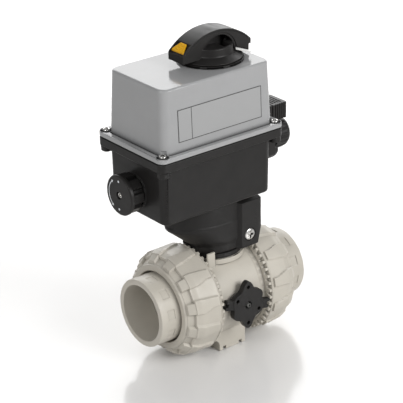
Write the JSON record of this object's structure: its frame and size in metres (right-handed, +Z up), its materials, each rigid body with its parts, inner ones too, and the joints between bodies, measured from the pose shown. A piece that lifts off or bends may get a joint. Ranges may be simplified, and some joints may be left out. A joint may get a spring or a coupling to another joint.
{
  "type": "motorized valve actuator",
  "caption": "Plastic true-union ball valve under a boxy electric quarter-turn actuator with a manual handle, a selector knob and cable glands.",
  "frame": {"origin": "on the stem axis, at the flat underside of the foot", "axes": "+X along the pipe to the far end, +Z up, the label faces -Y"},
  "size_m": [0.22, 0.1226, 0.36],
  "materials": {
    "beige_plastic": "satin moulded polypropylene, warm light grey",
    "ptfe": "waxy white",
    "black_rubber": "dull black",
    "black_plastic": "fine moulded texture, black",
    "grey_plastic": "semi-gloss mid grey",
    "label_film": "plain grey film",
    "amber_plastic": "glossy amber",
    "white_plastic": "satin white",
    "steel": "bright zinc-plated",
    "brass": "turned",
    "gear_plastic": "natural acetal",
    "circuit_green": "lacquered board",
    "terminal_grey": "grey-green polyamide"
  },
  "bodies": {
    "actuated_valve": {"ball_seat_far": "ptfe", "ball_seat_near": "ptfe", "capacitor": "black_plastic", "circuit_board": "circuit_green", "connector_console": "black_plastic", "cover": "grey_plastic", "cover_screw_1": "steel", "cover_screw_2": "steel", "cover_screw_3": "steel", "cover_screw_4": "steel", "din_plug": "black_plastic", "end_connector_far": "beige_plastic", "end_connector_near": "beige_plastic", "foot_insert_back": "brass", "foot_insert_front": "brass", "gear_plate": "steel", "housing_gasket": "black_rubber", "indicator_ring": "black_plastic", "label_plate": "label_film", "limit_switch_closed": "black_plastic", "limit_switch_open": "black_plastic", "lower_housing": "black_plastic", "motor": "steel", "mounting_plate": "black_plastic", "neck_screw_back": "steel", "neck_screw_front": "steel", "nut_lock_pin": "grey_plastic", "plug_gasket": "black_rubber", "plug_screw": "steel", "power_gland_body": "black_plastic", "seat_carrier_far": "beige_plastic", "seat_carrier_near": "beige_plastic", "shaft_seal": "black_rubber", "signal_gland_body": "black_plastic", "socket_oring_far": "black_rubber", "socket_oring_near": "black_rubber", "switch_bracket": "steel", "terminal_block": "terminal_grey", "valve_body": "beige_plastic"},
    "near_nut": {"union_nut_near": "beige_plastic"},
    "far_nut": {"union_nut_far": "beige_plastic"},
    "lock": {"nut_lock": "black_plastic"},
    "valve_rotor": {"ball": "beige_plastic", "stem": "beige_plastic", "stem_oring_lower": "black_rubber", "stem_oring_upper": "black_rubber"},
    "drive": {"output_shaft": "steel", "output_gear": "gear_plastic", "cam_closed": "white_plastic", "cam_open": "white_plastic", "handle": "black_plastic", "handle_window": "amber_plastic", "pointer": "white_plastic"},
    "idler": {"idler_gear": "gear_plastic"},
    "pinion": {"motor_pinion": "brass"},
    "selector": {"mode_knob": "black_plastic", "mode_knob_screw": "steel", "mode_shaft": "steel"},
    "power_nut": {"power_gland_nut": "black_plastic"},
    "signal_nut": {"signal_gland_nut": "black_plastic"}
  },
  "joints": [
    {"name": "near_nut_turn", "type": "hinge", "parent": "actuated_valve", "child": "near_nut", "pos_m": [-0.0315, 0, 0.062], "axis": [1, 0, 0], "continuous": true},
    {"name": "far_nut_turn", "type": "hinge", "parent": "actuated_valve", "child": "far_nut", "pos_m": [0.0315, 0, 0.062], "axis": [1, 0, 0], "continuous": true},
    {"name": "nut_lock_swing", "type": "hinge", "parent": "actuated_valve", "child": "lock", "pos_m": [0, -0.0533, 0.062], "axis": [0, 1, 0], "range_deg": [-30, 0]},
    {"name": "drive_turn", "type": "hinge", "parent": "actuated_valve", "child": "drive", "pos_m": [0, 0, 0.2003], "axis": [0, 0, 1], "range_deg": [0, 90]},
    {"name": "ball_turn", "type": "hinge", "parent": "actuated_valve", "child": "valve_rotor", "pos_m": [0, 0, 0.062], "axis": [0, 0, 1], "range_deg": [0, 90]},
    {"name": "idler_turn", "type": "hinge", "parent": "actuated_valve", "child": "idler", "pos_m": [-0.04, 0, 0.1995], "axis": [0, 0, 1], "range_deg": [-270, 0]},
    {"name": "motor_turn", "type": "hinge", "parent": "actuated_valve", "child": "pinion", "pos_m": [-0.07375, 0, 0.2102], "axis": [0, 0, 1], "range_deg": [0, 540]},
    {"name": "selector_turn", "type": "hinge", "parent": "actuated_valve", "child": "selector", "pos_m": [-0.1205, 0.002, 0.205], "axis": [1, 0, 0], "range_deg": [0, 90]},
    {"name": "power_gland_turn", "type": "hinge", "parent": "actuated_valve", "child": "power_nut", "pos_m": [0.0641, -0.016, 0.2295], "axis": [1, 0, 0], "continuous": true},
    {"name": "signal_gland_turn", "type": "hinge", "parent": "actuated_valve", "child": "signal_nut", "pos_m": [0.0641, -0.004, 0.204], "axis": [1, 0, 0], "continuous": true}
  ],
  "couplings": [
    {"joint": "ball_turn", "follows": "drive_turn", "ratio": 1},
    {"joint": "idler_turn", "follows": "drive_turn", "ratio": -3},
    {"joint": "motor_turn", "follows": "drive_turn", "ratio": 6}
  ]
}
